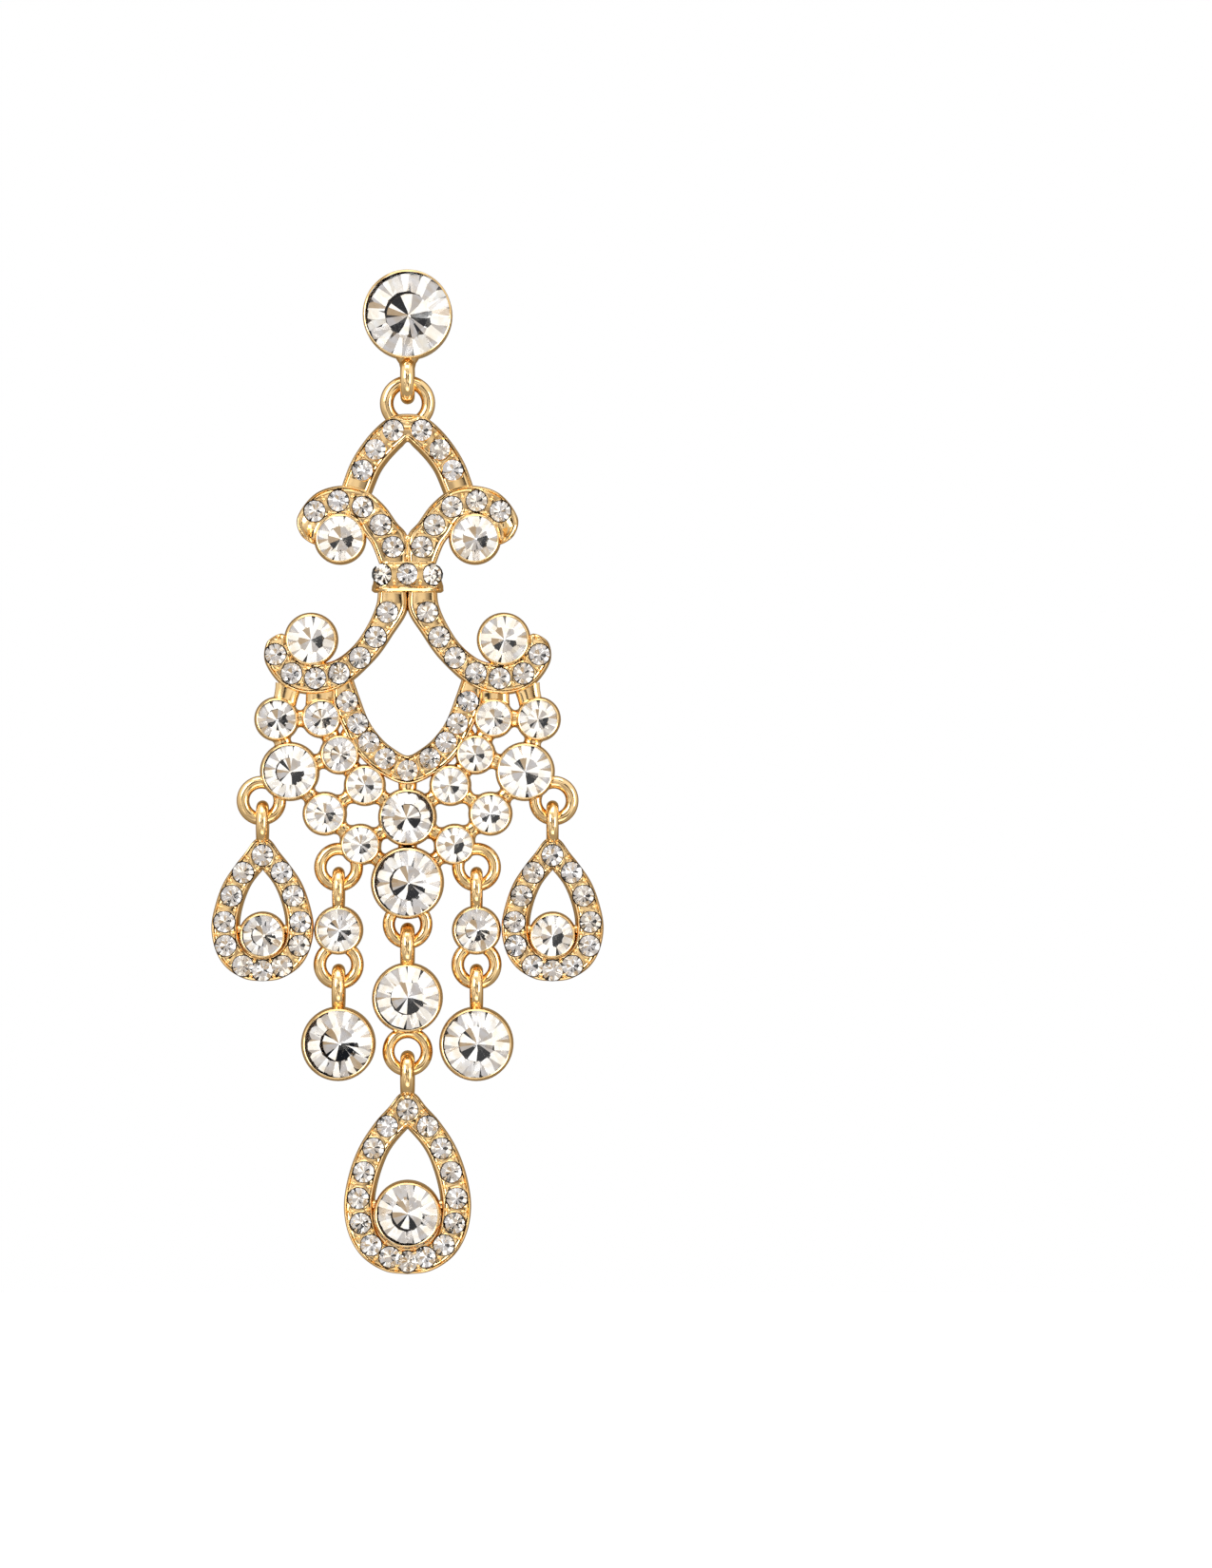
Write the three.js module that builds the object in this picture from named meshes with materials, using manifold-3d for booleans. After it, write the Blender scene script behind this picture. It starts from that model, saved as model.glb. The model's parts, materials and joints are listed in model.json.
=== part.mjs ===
// A chandelier drop earring, in millimetres, +Z up.
// The origin is where the ear post leaves the flat back of the stud: the lobe is behind it,
// towards +Y, and the front of the earring looks along -Y.
//
// The pieces are drawn as a jeweller draws them, on the front view: x to the right, y up from
// the centre of the stud's stone, and z is the depth towards the viewer, measured from the
// plane that the drop hangs in. One group at the end stands the drawing up.

import * as THREE from 'three';
import { mergeVertices } from 'three/addons/utils/BufferGeometryUtils.js';
import Module from 'manifold-3d';

const wasm = await Module();
wasm.setup();

// ---- Driving dimensions ----

const HANG_PLANE = 2.2; // the drop hangs this far in front of the lobe
const CUP_BACK = -0.95; // depth of the back of every cup but the stud's
const BAND_BACK = -0.85; // depth of the back of a paved band
const BAND_FRONT = 0.7; // depth of its front
const LOW_BAND = 0.07; // the arch and the ogee are thinner by this on both faces
const CUP_FLOOR = 0.4; // metal behind the point of a stone
const CUP_WALL = 0.2; // wall of a cup around its stone
const SEAT_GAP = 0.05; // clearance all round a stone
const LINK_GAP = 0.05; // clearance where one ring hangs on another

// A cut stone, as shares of its own radius.
const PAVILION = 0.86; // from the point up to the girdle
const CROWN = 0.32; // from the girdle up to the table
const TABLE = 0.55; // radius of the table
const SEAT_STEP = 0.3; // straight part of the seat, below the rim

const GIRDLE_DROP = 0.1; // the girdle lies this far below the rim of its cup
const GIRDLE_EDGE = 0.08; // thickness of the girdle

const STUD = { radius: 3.75, neckTop: -3.0, neckBottom: -4.6, neckWide: 2.1, neckNarrow: 1.3 };
const NECK_DEPTH = 1.3;
const POST = { radius: 0.42, length: 10.6, tip: 0.7, tipRadius: 0.26, root: 0.5 };

const STUD_LOOP = { y: -5.5, radius: 1.45, wire: 0.6 };
const TOP_RING = { x: 0, y: -7.45, radius: 1.755, wire: 0.575 };
const SIDE_RING = { x: 12.3, y: -40.9, radius: 1.55, wire: 0.54 };
const INNER_RING = { x: 5.8, y: -46.5, radius: 1.535, wire: 0.535 };
const CENTRE_RING = { x: 0, y: -51.3, radius: 1.575, wire: 0.525 };
const LINK_RING = { x: 5.8, y: -54.7, radius: 1.58, wire: 0.54 };
const CENTRE_LINK_RING = { x: 0, y: -62.0, radius: 1.61, wire: 0.51 };

const FINE_LOOP = { radius: 1.45, wire: 0.52 };
const ROUND_LOOP = { radius: 1.55, wire: 0.56 };
const CENTRE_LOOP = { radius: 1.5, wire: 0.6 };

// Settings of the frame on the right-hand side: centre and outer radius of each cup.
const SIDE_CUPS = [
  { name: 'curl', x: 5.67, y: -18.85, radius: 2.08 },
  { name: 'scroll', x: 8.1, y: -27.35, radius: 2.15 },
  { name: 'row1_outer', x: 11.0, y: -34.05, radius: 1.78 },
  { name: 'row1_inner', x: 7.25, y: -33.95, radius: 1.6 },
  { name: 'row2_outer', x: 9.9, y: -38.45, radius: 2.38 },
  { name: 'row2_inner', x: 5.72, y: -37.0, radius: 1.6 },
  { name: 'row3_inner', x: 3.6, y: -39.6, radius: 1.65 },
  { name: 'row3_outer', x: 6.97, y: -42.0, radius: 1.75 },
  { name: 'row4', x: 3.97, y: -44.6, radius: 1.65 },
];
const CENTRE_CUPS = [
  { name: 'centre_upper', x: 0, y: -42.3, radius: 2.35 },
  { name: 'centre_lower', x: 0, y: -47.8, radius: 2.95 },
];

// Cups closer than this are joined by a strut, and these ties run on to the bands.
const STRUT_REACH = 0.9;
const STRUT = { width: 0.85, back: -0.7, front: 0.15 };
const TIES = [
  { fromX: 11.0, fromY: -34.05, toX: 10.4, toY: -30.9 },
  { fromX: 7.25, fromY: -33.95, toX: 8.7, toY: -31.0 },
  { fromX: 7.25, fromY: -33.95, toX: 5.08, toY: -32.55 },
  { fromX: 5.72, fromY: -37.0, toX: 4.2, toY: -34.4 },
  { fromX: 3.6, fromY: -39.6, toX: 1.88, toY: -37.35 },
  { fromX: 0, fromY: -42.3, toX: 0, toY: -38.35 },
];

// The edges of each paved band on the right-hand side: outer edge, then inner edge.
const ARCH = [
  { ox: 0, oy: -8.35, ix: 0, iy: -10.7 },
  { ox: 1.2, oy: -8.5, ix: 0.45, iy: -11.1 },
  { ox: 2.3, oy: -9.2, ix: 1.0, iy: -11.65 },
  { ox: 3.6, oy: -10.6, ix: 1.7, iy: -12.45 },
  { ox: 4.8, oy: -12.5, ix: 2.35, iy: -13.45 },
  { ox: 5.65, oy: -14.8, ix: 3.1, iy: -15.3 },
];
const CURL = [
  { ox: 0, oy: -21.2, ix: 2.3, iy: -21.2 },
  { ox: 0, oy: -18.7, ix: 3, iy: -19.4 },
  { ox: 0.9, oy: -17.5, ix: 3.72, iy: -18.4 },
  { ox: 2, oy: -16, ix: 4.2, iy: -17.55 },
  { ox: 3.6, oy: -14.75, ix: 4.75, iy: -17.1 },
  { ox: 5.7, oy: -14.4, ix: 5.7, iy: -16.9 },
  { ox: 7.8, oy: -15.1, ix: 6.75, iy: -17.2 },
  { ox: 9.25, oy: -17, ix: 7.4, iy: -17.95 },
  { ox: 9, oy: -18.5, ix: 7.6, iy: -18.7 },
  { ox: 7.9, oy: -19.5, ix: 7.4, iy: -19.2 },
];
const ARM = [
  { ox: 2.5, oy: -22.9, ix: 0, iy: -22.9 },
  { ox: 2.6, oy: -24.3, ix: 0, iy: -24.9 },
  { ox: 3.3, oy: -26, ix: 1.2, iy: -26.9 },
  { ox: 4.5, oy: -27.8, ix: 2.75, iy: -29.05 },
  { ox: 6.2, oy: -29.1, ix: 5.3, iy: -31.3 },
  { ox: 8.1, oy: -29.35, ix: 7.9, iy: -32 },
  { ox: 9.5, oy: -28.85, ix: 10.4, iy: -31.35 },
  { ox: 10.1, oy: -27.95, ix: 11.95, iy: -29.4 },
  { ox: 10.15, oy: -27.3, ix: 11.95, iy: -27.75 },
  { ox: 10.1, oy: -26.85, ix: 11.1, iy: -26.8 },
];
const OGEE = [
  { ox: 6.3, oy: -31.3, ix: 4.0, iy: -30.4 },
  { ox: 6.2, oy: -32.9, ix: 3.95, iy: -32.2 },
  { ox: 5.35, oy: -35.0, ix: 3.25, iy: -34.2 },
  { ox: 4.2, oy: -37.0, ix: 2.25, iy: -35.6 },
  { ox: 2.4, oy: -38.6, ix: 1.2, iy: -36.5 },
  { ox: 0, oy: -39.55, ix: 0, iy: -37.1 },
];

// Collar round the stem: a profile of depth and height, carried across from side to side.
const COLLAR = { half: 2.95, top: -20.65, foot: -23.4, back: -1.15, front: 1.4, bulge: 1.75 };

// A pear drop: right half of its outer outline and of its opening, its cup and its loop.
const SIDE_PEAR = {
  x: 12.2,
  cup: { x: 0, y: -52.25, radius: 1.9 },
  outer: [[0.45, -43.6], [0.95, -44.75], [2.2, -46.2], [3.25, -47.75], [3.95, -49.6],
    [4.3, -51.55], [3.95, -53.5], [3.05, -54.95], [1.5, -55.9], [0, -56.1]],
  inner: [[0, -46.75], [0.95, -48.0], [1.6, -49.6], [1.9, -51.2], [1.65, -52.7],
    [1.0, -53.6], [0, -53.9]],
};
const CENTRE_PEAR = {
  x: 0,
  cup: { x: 0, y: -75.7, radius: 2.75 },
  outer: [[0.5, -64.9], [1.15, -66.1], [2.75, -68.0], [4.05, -70.0], [4.95, -72.4],
    [5.35, -75.0], [4.95, -77.4], [3.8, -79.3], [1.9, -80.5], [0, -80.75]],
  inner: [[0, -68.55], [1.1, -69.8], [1.85, -71.1], [2.5, -73.1], [2.75, -75.0],
    [2.4, -77.2], [1.3, -78.3], [0, -78.55]],
};

const LINK_CUP = { x: 0, y: -51.8, radius: 1.95 };
const ROUND_CUP = { x: 0, y: -61.35, radius: 3.0 };
const CENTRE_LINK_CUP = { x: 0, y: -57.5, radius: 2.85 };
const LINK_X = INNER_RING.x;
const ROUND_X = LINK_RING.x;

const CUP_SIDES = 14;
const STONE_SIDES = 12;
const RING_SIDES = 14;
const WIRE_SIDES = 6;
const BAND_STEPS = 11;

// ---- Materials ----

const gold = new THREE.MeshStandardMaterial({ color: 0xe3b869, roughness: 0.18, metalness: 1 });
const crystal = new THREE.MeshStandardMaterial({ color: 0xeef0f2, roughness: 0.03 });

// ---- Joining and cutting ----

// A closed three.js geometry as a solid, turned the right way out.
function solid(geometry) {
  const bare = geometry.clone();
  bare.deleteAttribute('normal');
  bare.deleteAttribute('uv');
  const merged = mergeVertices(bare, 1e-5);
  const triVerts = Uint32Array.from(merged.index.array);
  const vertProperties = Float32Array.from(merged.attributes.position.array);
  const made = new wasm.Manifold(new wasm.Mesh({ numProp: 3, vertProperties, triVerts }));
  if (made.volume() > 0) return made;
  const turned = triVerts.map((_, i) => triVerts[i - (i % 3) + (2 - (i % 3))]);
  return new wasm.Manifold(new wasm.Mesh({ numProp: 3, vertProperties, triVerts: turned }));
}

function joined(solids) {
  return solids.reduce((whole, next) => whole.add(next));
}

function pieceOf(name, body, material) {
  const mesh = body.getMesh();
  const geometry = new THREE.BufferGeometry();
  geometry.setAttribute('position', new THREE.BufferAttribute(mesh.vertProperties, 3));
  geometry.setIndex(new THREE.BufferAttribute(mesh.triVerts, 1));
  geometry.computeVertexNormals();
  const piece = new THREE.Mesh(geometry, material);
  piece.name = name;
  return piece;
}

// ---- Shapes ----

// A turned shape from [radius, depth] pairs, its axis towards the viewer.
function turned(profile, sides) {
  const points = profile.map(([radius, depth]) => new THREE.Vector2(radius, depth));
  return new THREE.LatheGeometry(points, sides).rotateX(Math.PI / 2);
}

// A flat shape as a plate between two depths.
function plate(shape, back, front) {
  const made = new THREE.ExtrudeGeometry(shape, { depth: front - back, bevelEnabled: false });
  return solid(made.translate(0, 0, back));
}

// A ring that faces the viewer.
function ring({ x, y, radius, wire }) {
  return solid(new THREE.TorusGeometry(radius, wire, WIRE_SIDES, RING_SIDES).translate(x, y, 0));
}

// A ring that is seen edge-on.
function loop(x, y, { radius, wire }) {
  const made = new THREE.TorusGeometry(radius, wire, WIRE_SIDES, RING_SIDES);
  return solid(made.rotateY(Math.PI / 2).translate(x, y, 0));
}

// Height of a loop's centre when it hangs on a ring that faces the viewer.
function hangingOn(carrier, hung) {
  return carrier.y - carrier.radius + carrier.wire + hung.wire + LINK_GAP - hung.radius;
}

// The rim of a cup: its depth follows from the stone that it has to hold.
function rimDepth(cup, back = CUP_BACK) {
  return back + CUP_FLOOR + PAVILION * cup.radius;
}

function cupBlank(cup, back = CUP_BACK) {
  const rim = rimDepth(cup, back);
  const profile = [[0, back], [cup.radius, back], [cup.radius, rim], [0, rim]];
  return solid(turned(profile, CUP_SIDES).translate(cup.x, cup.y, 0));
}

function seatCutter(cup, back = CUP_BACK) {
  const rim = rimDepth(cup, back);
  const floor = back + CUP_FLOOR;
  const radius = cup.radius - CUP_WALL;
  const step = rim - SEAT_STEP * cup.radius;
  const above = rim + cup.radius;
  const profile = [[0, floor], [0.3 * radius, floor], [radius, step], [radius, above], [0, above]];
  return solid(turned(profile, CUP_SIDES).translate(cup.x, cup.y, 0));
}

function stone(name, cup, back = CUP_BACK) {
  const radius = cup.radius - CUP_WALL - SEAT_GAP;
  const girdle = rimDepth(cup, back) - GIRDLE_DROP;
  const table = girdle + GIRDLE_EDGE + CROWN * radius;
  const profile = [
    [0, girdle - PAVILION * radius],
    [radius, girdle],
    [radius, girdle + GIRDLE_EDGE],
    [TABLE * radius, table],
    [0, table],
  ];
  const cut = turned(profile, STONE_SIDES).translate(cup.x, cup.y, 0);
  return pieceOf(name, solid(cut), crystal);
}

// A band between its outer and its inner edge; side is 1 on the right and -1 on the left.
function band(stations, side, lowered = 0) {
  const edge = (x, y) => {
    const through = stations.map((s) => new THREE.Vector2(side * s[x], s[y]));
    return new THREE.SplineCurve(through).getPoints(BAND_STEPS);
  };
  const outline = [...edge('ox', 'oy'), ...edge('ix', 'iy').reverse()];
  return plate(new THREE.Shape(outline), BAND_BACK + lowered, BAND_FRONT - lowered);
}

// A closed outline, the same on both sides, from the right half of it, drawn from top to foot.
// It runs down the left and up the right: an opening in a plate has to run that way round.
function mirrored(half) {
  const curve = new THREE.SplineCurve(half.map(([x, y]) => new THREE.Vector2(x, y)));
  const right = curve.getPoints(BAND_STEPS);
  const left = right.map((p) => new THREE.Vector2(-p.x, p.y));
  const outline = [...left, ...right.reverse()];
  return outline.filter((p, i, all) => p.distanceTo(all.at(i - 1)) > 1e-4);
}

function strut(fromX, fromY, toX, toY) {
  const length = Math.hypot(toX - fromX, toY - fromY);
  const depth = STRUT.front - STRUT.back;
  const bar = new THREE.BoxGeometry(length, STRUT.width, depth);
  bar.rotateZ(Math.atan2(toY - fromY, toX - fromX));
  return solid(bar.translate((fromX + toX) / 2, (fromY + toY) / 2, STRUT.back + depth / 2));
}

// ---- The stud: cup, loop and ear post, soldered into one ----

function studSetting() {
  const back = -HANG_PLANE;
  const cup = { x: 0, y: 0, radius: STUD.radius };
  const neck = new THREE.Shape([
    new THREE.Vector2(-STUD.neckWide / 2, STUD.neckTop),
    new THREE.Vector2(STUD.neckWide / 2, STUD.neckTop),
    new THREE.Vector2(STUD.neckNarrow / 2, STUD.neckBottom),
    new THREE.Vector2(-STUD.neckNarrow / 2, STUD.neckBottom),
  ]);
  const end = back - POST.length;
  const post = turned([
    [0, end],
    [POST.tipRadius, end],
    [POST.radius, end + POST.tip],
    [POST.radius, back + POST.root],
    [0, back + POST.root],
  ], 12);
  const metal = joined([
    cupBlank(cup, back),
    plate(neck, -NECK_DEPTH / 2, NECK_DEPTH / 2),
    loop(0, STUD_LOOP.y, STUD_LOOP),
  ]);
  const seated = metal.subtract(seatCutter(cup, back));
  const whole = seated.add(solid(post).subtract(seatCutter(cup, back)));
  return [pieceOf('stud_setting', whole, gold), stone('stud_stone', cup, back)];
}

// ---- The frame: bands, collar, cups, struts and rings, cast as one ----

function collar() {
  const { top, foot, back, front, bulge } = COLLAR;
  const middle = (top + foot) / 2;
  const section = new THREE.Shape([
    new THREE.Vector2(back, foot),
    new THREE.Vector2(bulge, foot),
    new THREE.Vector2(bulge, foot + 0.45),
    new THREE.Vector2(front, foot + 0.6),
    new THREE.Vector2(bulge, middle),
    new THREE.Vector2(front, top - 0.4),
    new THREE.Vector2(front - 0.3, top),
    new THREE.Vector2(back, top),
  ]);
  const bar = new THREE.ExtrudeGeometry(section, { depth: 2 * COLLAR.half, bevelEnabled: false });
  return solid(bar.translate(0, 0, -COLLAR.half).rotateY(-Math.PI / 2));
}

function frameCups() {
  const right = SIDE_CUPS.map((cup) => ({ ...cup, name: `${cup.name}_R` }));
  const left = SIDE_CUPS.map((cup) => ({ ...cup, name: `${cup.name}_L`, x: -cup.x }));
  return [...right, ...left, ...CENTRE_CUPS];
}

function strutsBetween(cups) {
  const struts = [];
  cups.forEach((a, i) => {
    cups.slice(i + 1).forEach((b) => {
      const gap = Math.hypot(a.x - b.x, a.y - b.y) - a.radius - b.radius;
      if (gap < STRUT_REACH) struts.push(strut(a.x, a.y, b.x, b.y));
    });
  });
  return struts;
}

function frame() {
  const cups = frameCups();
  const parts = [ring(TOP_RING), collar(), ring(CENTRE_RING)];
  for (const side of [-1, 1]) {
    for (const edges of [CURL, ARM]) parts.push(band(edges, side));
    for (const edges of [ARCH, OGEE]) parts.push(band(edges, side, LOW_BAND));
    for (const carrier of [SIDE_RING, INNER_RING]) {
      parts.push(ring({ ...carrier, x: side * carrier.x }));
    }
  }
  parts.push(...cups.map((cup) => cupBlank(cup)), ...strutsBetween(cups));
  for (const side of [-1, 1]) {
    for (const tie of TIES) parts.push(strut(side * tie.fromX, tie.fromY, side * tie.toX, tie.toY));
  }
  const metal = joined(parts).subtract(joined(cups.map((cup) => seatCutter(cup))));
  const stones = cups.map((cup) => stone(`stone_${cup.name}`, cup));
  return [pieceOf('frame', metal, gold), ...stones];
}

// ---- The drops and links ----

// A pear-shaped drop: a paved rim round an opening, a cup in its foot and a loop on top.
function pearDrop(name, pear, carrier, hung, side) {
  const shape = new THREE.Shape(mirrored(pear.outer));
  shape.holes.push(new THREE.Path(mirrored(pear.inner)));
  const parts = [
    plate(shape, BAND_BACK, BAND_FRONT),
    cupBlank(pear.cup),
    loop(0, hangingOn(carrier, hung), hung),
  ];
  const metal = joined(parts).subtract(seatCutter(pear.cup));
  const pieces = [pieceOf(name, metal, gold), stone(`${name}_stone`, pear.cup)];
  pieces.forEach((piece) => piece.position.setX(side * pear.x));
  return pieces;
}

// One stone in a cup with a loop on top and, on a link, a ring below.
function cupDrop(name, cup, carrier, hung, below, x) {
  const parts = [cupBlank(cup), loop(0, hangingOn(carrier, hung), hung)];
  if (below) parts.push(ring({ ...below, x: 0 }));
  const metal = joined(parts).subtract(seatCutter(cup));
  const pieces = [pieceOf(name, metal, gold), stone(`${name}_stone`, cup)];
  pieces.forEach((piece) => piece.position.setX(x));
  return pieces;
}

function drops() {
  const pieces = [
    ...cupDrop('centre_link', CENTRE_LINK_CUP, CENTRE_RING, CENTRE_LOOP, CENTRE_LINK_RING, 0),
    ...pearDrop('centre_pear', CENTRE_PEAR, CENTRE_LINK_RING, CENTRE_LOOP, 1),
  ];
  for (const [mark, side] of [['L', -1], ['R', 1]]) {
    pieces.push(
      ...pearDrop(`side_pear_${mark}`, SIDE_PEAR, SIDE_RING, FINE_LOOP, side),
      ...cupDrop(`link_${mark}`, LINK_CUP, INNER_RING, FINE_LOOP, LINK_RING, side * LINK_X),
      ...cupDrop(`round_drop_${mark}`, ROUND_CUP, LINK_RING, ROUND_LOOP, null, side * ROUND_X),
    );
  }
  return pieces;
}

// ---- The earring ----

const drawing = new THREE.Group();
drawing.rotation.x = Math.PI / 2;
drawing.position.y = -HANG_PLANE;
drawing.add(...studSetting(), ...frame(), ...drops());

const earring = new THREE.Group();
earring.add(drawing);

export default earring;
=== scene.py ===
# %% [markdown]
# # A chandelier earring
# The earring is a costume jewel: cast alloy, plated with light gold and polished, set with clear
# cut crystals that have a mirror foil on their backs. This file dresses the finished construction
# in those looks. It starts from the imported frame, whose stones and joints say where things are.

# %% Load the frame
import math
import json

import bmesh
import bpy
import numpy as np
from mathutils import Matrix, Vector

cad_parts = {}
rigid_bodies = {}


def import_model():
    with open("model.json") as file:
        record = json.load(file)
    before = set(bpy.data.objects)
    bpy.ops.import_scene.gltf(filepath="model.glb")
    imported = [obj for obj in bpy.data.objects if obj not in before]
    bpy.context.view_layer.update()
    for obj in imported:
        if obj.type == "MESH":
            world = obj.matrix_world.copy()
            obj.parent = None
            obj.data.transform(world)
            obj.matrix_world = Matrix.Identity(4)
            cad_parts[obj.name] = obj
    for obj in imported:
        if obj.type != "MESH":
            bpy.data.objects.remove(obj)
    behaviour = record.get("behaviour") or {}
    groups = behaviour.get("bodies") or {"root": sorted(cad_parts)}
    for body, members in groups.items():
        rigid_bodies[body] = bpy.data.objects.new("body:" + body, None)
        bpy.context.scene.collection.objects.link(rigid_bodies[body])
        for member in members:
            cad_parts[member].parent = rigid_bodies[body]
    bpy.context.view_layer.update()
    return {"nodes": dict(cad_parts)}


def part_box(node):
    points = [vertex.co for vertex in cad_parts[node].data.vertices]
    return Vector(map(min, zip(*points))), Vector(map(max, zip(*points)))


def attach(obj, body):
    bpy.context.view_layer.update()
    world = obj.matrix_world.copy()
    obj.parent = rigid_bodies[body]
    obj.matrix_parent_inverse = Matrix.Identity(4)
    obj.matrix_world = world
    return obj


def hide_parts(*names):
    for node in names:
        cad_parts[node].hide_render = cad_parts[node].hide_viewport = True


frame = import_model()
print("the frame has", len(frame["nodes"]), "nodes")

# %% [markdown]
# A jeweller draws an earring on its front view, so every shape here is drawn the same way: x to
# the right, height up from the middle of the stud, and depth towards the viewer from the plane
# that the drop hangs in. One function turns such points into the frame's metres.

# %% From the drawing to the frame
MM = 0.001
HANG_PLANE = 2.2  # mm that the hanging drop lies in front of the lobe


def to_frame(points):
    x, height, depth = np.asarray(points, float).T
    return np.column_stack([x, -(HANG_PLANE + depth), height]) * MM


def linear(hex_colour):
    """An sRGB hex colour as the linear values that a shader wants."""
    parts = [int(hex_colour[i : i + 2], 16) / 255 for i in (1, 3, 5)]
    return [c / 12.92 if c <= 0.04045 else ((c + 0.055) / 1.055) ** 2.4 for c in parts] + [1.0]


def add(tree, kind, settings=None, inputs=None):
    """Adds one node; an input is a value or another node's output socket."""
    node = tree.nodes.new(kind)
    for name, value in (settings or {}).items():
        setattr(node, name, value)
    for name, value in (inputs or {}).items():
        if isinstance(value, bpy.types.NodeSocket):
            tree.links.new(value, node.inputs[name])
        else:
            node.inputs[name].default_value = value
    return node


# %% [markdown]
# ## Camera
# Both earrings of a pair are shown side by side, straight from the front, and this one is the
# left of the two. The camera stands far off with a long lens, as for a catalogue, and looks
# level at the middle between the pair, so the earring sits left of the middle of the frame.

# %% Camera
VIEW_CENTRE = (16.7, -39.5)  # mm right of and above the stud's middle
VIEW_HEIGHT = 132.0  # mm seen from the top to the foot of the frame
CAMERA_AWAY = 700.0
SENSOR = 24.0

camera_data = bpy.data.cameras.new("camera")
camera_data.sensor_fit = "VERTICAL"
camera_data.sensor_height = SENSOR
camera_data.lens = SENSOR * CAMERA_AWAY / VIEW_HEIGHT
camera_data.clip_start = 0.01
camera = bpy.data.objects.new("camera", camera_data)
camera.location = to_frame([(*VIEW_CENTRE, CAMERA_AWAY)])[0]
camera.rotation_euler = (math.pi / 2, 0, 0)
bpy.context.scene.collection.objects.link(camera)
bpy.context.scene.camera = camera
print("lens", round(camera_data.lens, 1), "mm")

# %% [markdown]
# ## Gold plate
# The metal is a thin layer of light gold over polished, cast alloy. A mirror-like metal shows
# what stands round it, so its colour only tints the reflections. Polishing leaves faint waves
# and a plating bath leaves faint clouds: noise of a few tenths of a millimetre in the roughness
# and in the bump gives both.

# %% Gold
GOLD_PLATE = "#EFCF9B"
GOLD_DEEP = "#E2BD82"
PLATING_CLOUD = 2.5  # mm across a cloud in the plating
POLISH_WAVE = 0.9  # mm across a wave that polishing left


def plated_gold():
    material = bpy.data.materials.new("polished_light_gold_plate")
    material.use_nodes = True
    tree = material.node_tree
    shader = tree.nodes["Principled BSDF"]
    place = add(tree, "ShaderNodeTexCoord").outputs["Object"]
    cloud = add(tree, "ShaderNodeTexNoise", inputs={
        "Vector": place, "Scale": 1 / (PLATING_CLOUD * MM), "Detail": 2.0})
    wave = add(tree, "ShaderNodeTexNoise", inputs={
        "Vector": place, "Scale": 1 / (POLISH_WAVE * MM), "Detail": 1.0})
    tint = add(tree, "ShaderNodeMix", {"data_type": "RGBA"}, {
        "Factor": cloud.outputs["Fac"], "A": linear(GOLD_PLATE), "B": linear(GOLD_DEEP)})
    rough = add(tree, "ShaderNodeMapRange", inputs={
        "Value": cloud.outputs["Fac"], "From Min": 0.3, "From Max": 0.7,
        "To Min": 0.08, "To Max": 0.15})
    bump = add(tree, "ShaderNodeBump", inputs={
        "Height": wave.outputs["Fac"], "Strength": 0.08, "Distance": 0.06 * MM})
    tree.links.new(tint.outputs["Result"], shader.inputs["Base Color"])
    tree.links.new(rough.outputs["Result"], shader.inputs["Roughness"])
    tree.links.new(bump.outputs["Normal"], shader.inputs["Normal"])
    shader.inputs["Metallic"].default_value = 1.0
    return material


gold = plated_gold()
print(gold.name, "with waves of", POLISH_WAVE, "mm")

# %% [markdown]
# ## Glue and painted shade in the seats
# The stones are glued into drilled seats that are a little too wide for them. The glue ages to
# a dull brown, half gloss. On the seat walls its colour is kept very dark so that it also stands
# for the shade that falls into the gap: partly glue, partly painted shade. What shows of it is
# the thin dark line round every small stone. That line is what makes the stones stand out from
# the metal, so it is a real gap here.
# That line is what makes the stones stand out from the metal, so it is a real gap here.

# %% Glue, with painted shade
# Dark glue colours, which also paint the shade that falls into the gap round each stone.
GLUE_AND_SHADE_DARK = "#2A1D12"
GLUE_AND_SHADE_LIGHT = "#5A4129"
GLUE_GRAIN = 0.4  # mm across a lighter or darker patch


# The seat material: glue colour darkened as painted shade in the seat walls.
def seat_glue_and_painted_shade():
    material = bpy.data.materials.new("aged_glue_and_painted_shade_in_the_seat")
    material.use_nodes = True
    tree = material.node_tree
    shader = tree.nodes["Principled BSDF"]
    place = add(tree, "ShaderNodeTexCoord").outputs["Object"]
    grain = add(tree, "ShaderNodeTexNoise", inputs={
        "Vector": place, "Scale": 1 / (GLUE_GRAIN * MM), "Detail": 2.0})
    tint = add(tree, "ShaderNodeMix", {"data_type": "RGBA"}, {
        "Factor": grain.outputs["Fac"], "A": linear(GLUE_AND_SHADE_DARK), "B": linear(GLUE_AND_SHADE_LIGHT)})
    tree.links.new(tint.outputs["Result"], shader.inputs["Base Color"])
    shader.inputs["Roughness"].default_value = 0.45
    return material


glue_and_shade = seat_glue_and_painted_shade()
print(glue_and_shade.name)

# %% [markdown]
# ## Crystal and its foil
# The stones are clear lead-free glass with a high index, pressed and then ground and polished
# in flat facets. Light goes in through the crown, and a foil on the pavilion sends it back out,
# so a stone looks like a wheel of white, grey and warm wedges. Here the crown facets are glass
# and the girdle and pavilion of the same closed stone are mirror: the same path for light.
# The foil isn't quite neutral: its lacquer lies thicker in places and warms the light there.

# %% Crystal and foil
CRYSTAL = "#FFFFFF"
FOIL_CLEAR = "#FFFFFF"
FOIL_WARM = "#FAF5ED"
CRYSTAL_IOR = 1.56
LACQUER_PATCH = 1.1  # mm across a patch of thicker lacquer
POLISH_HAZE = 0.6  # mm across a patch that the polishing left duller


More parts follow.
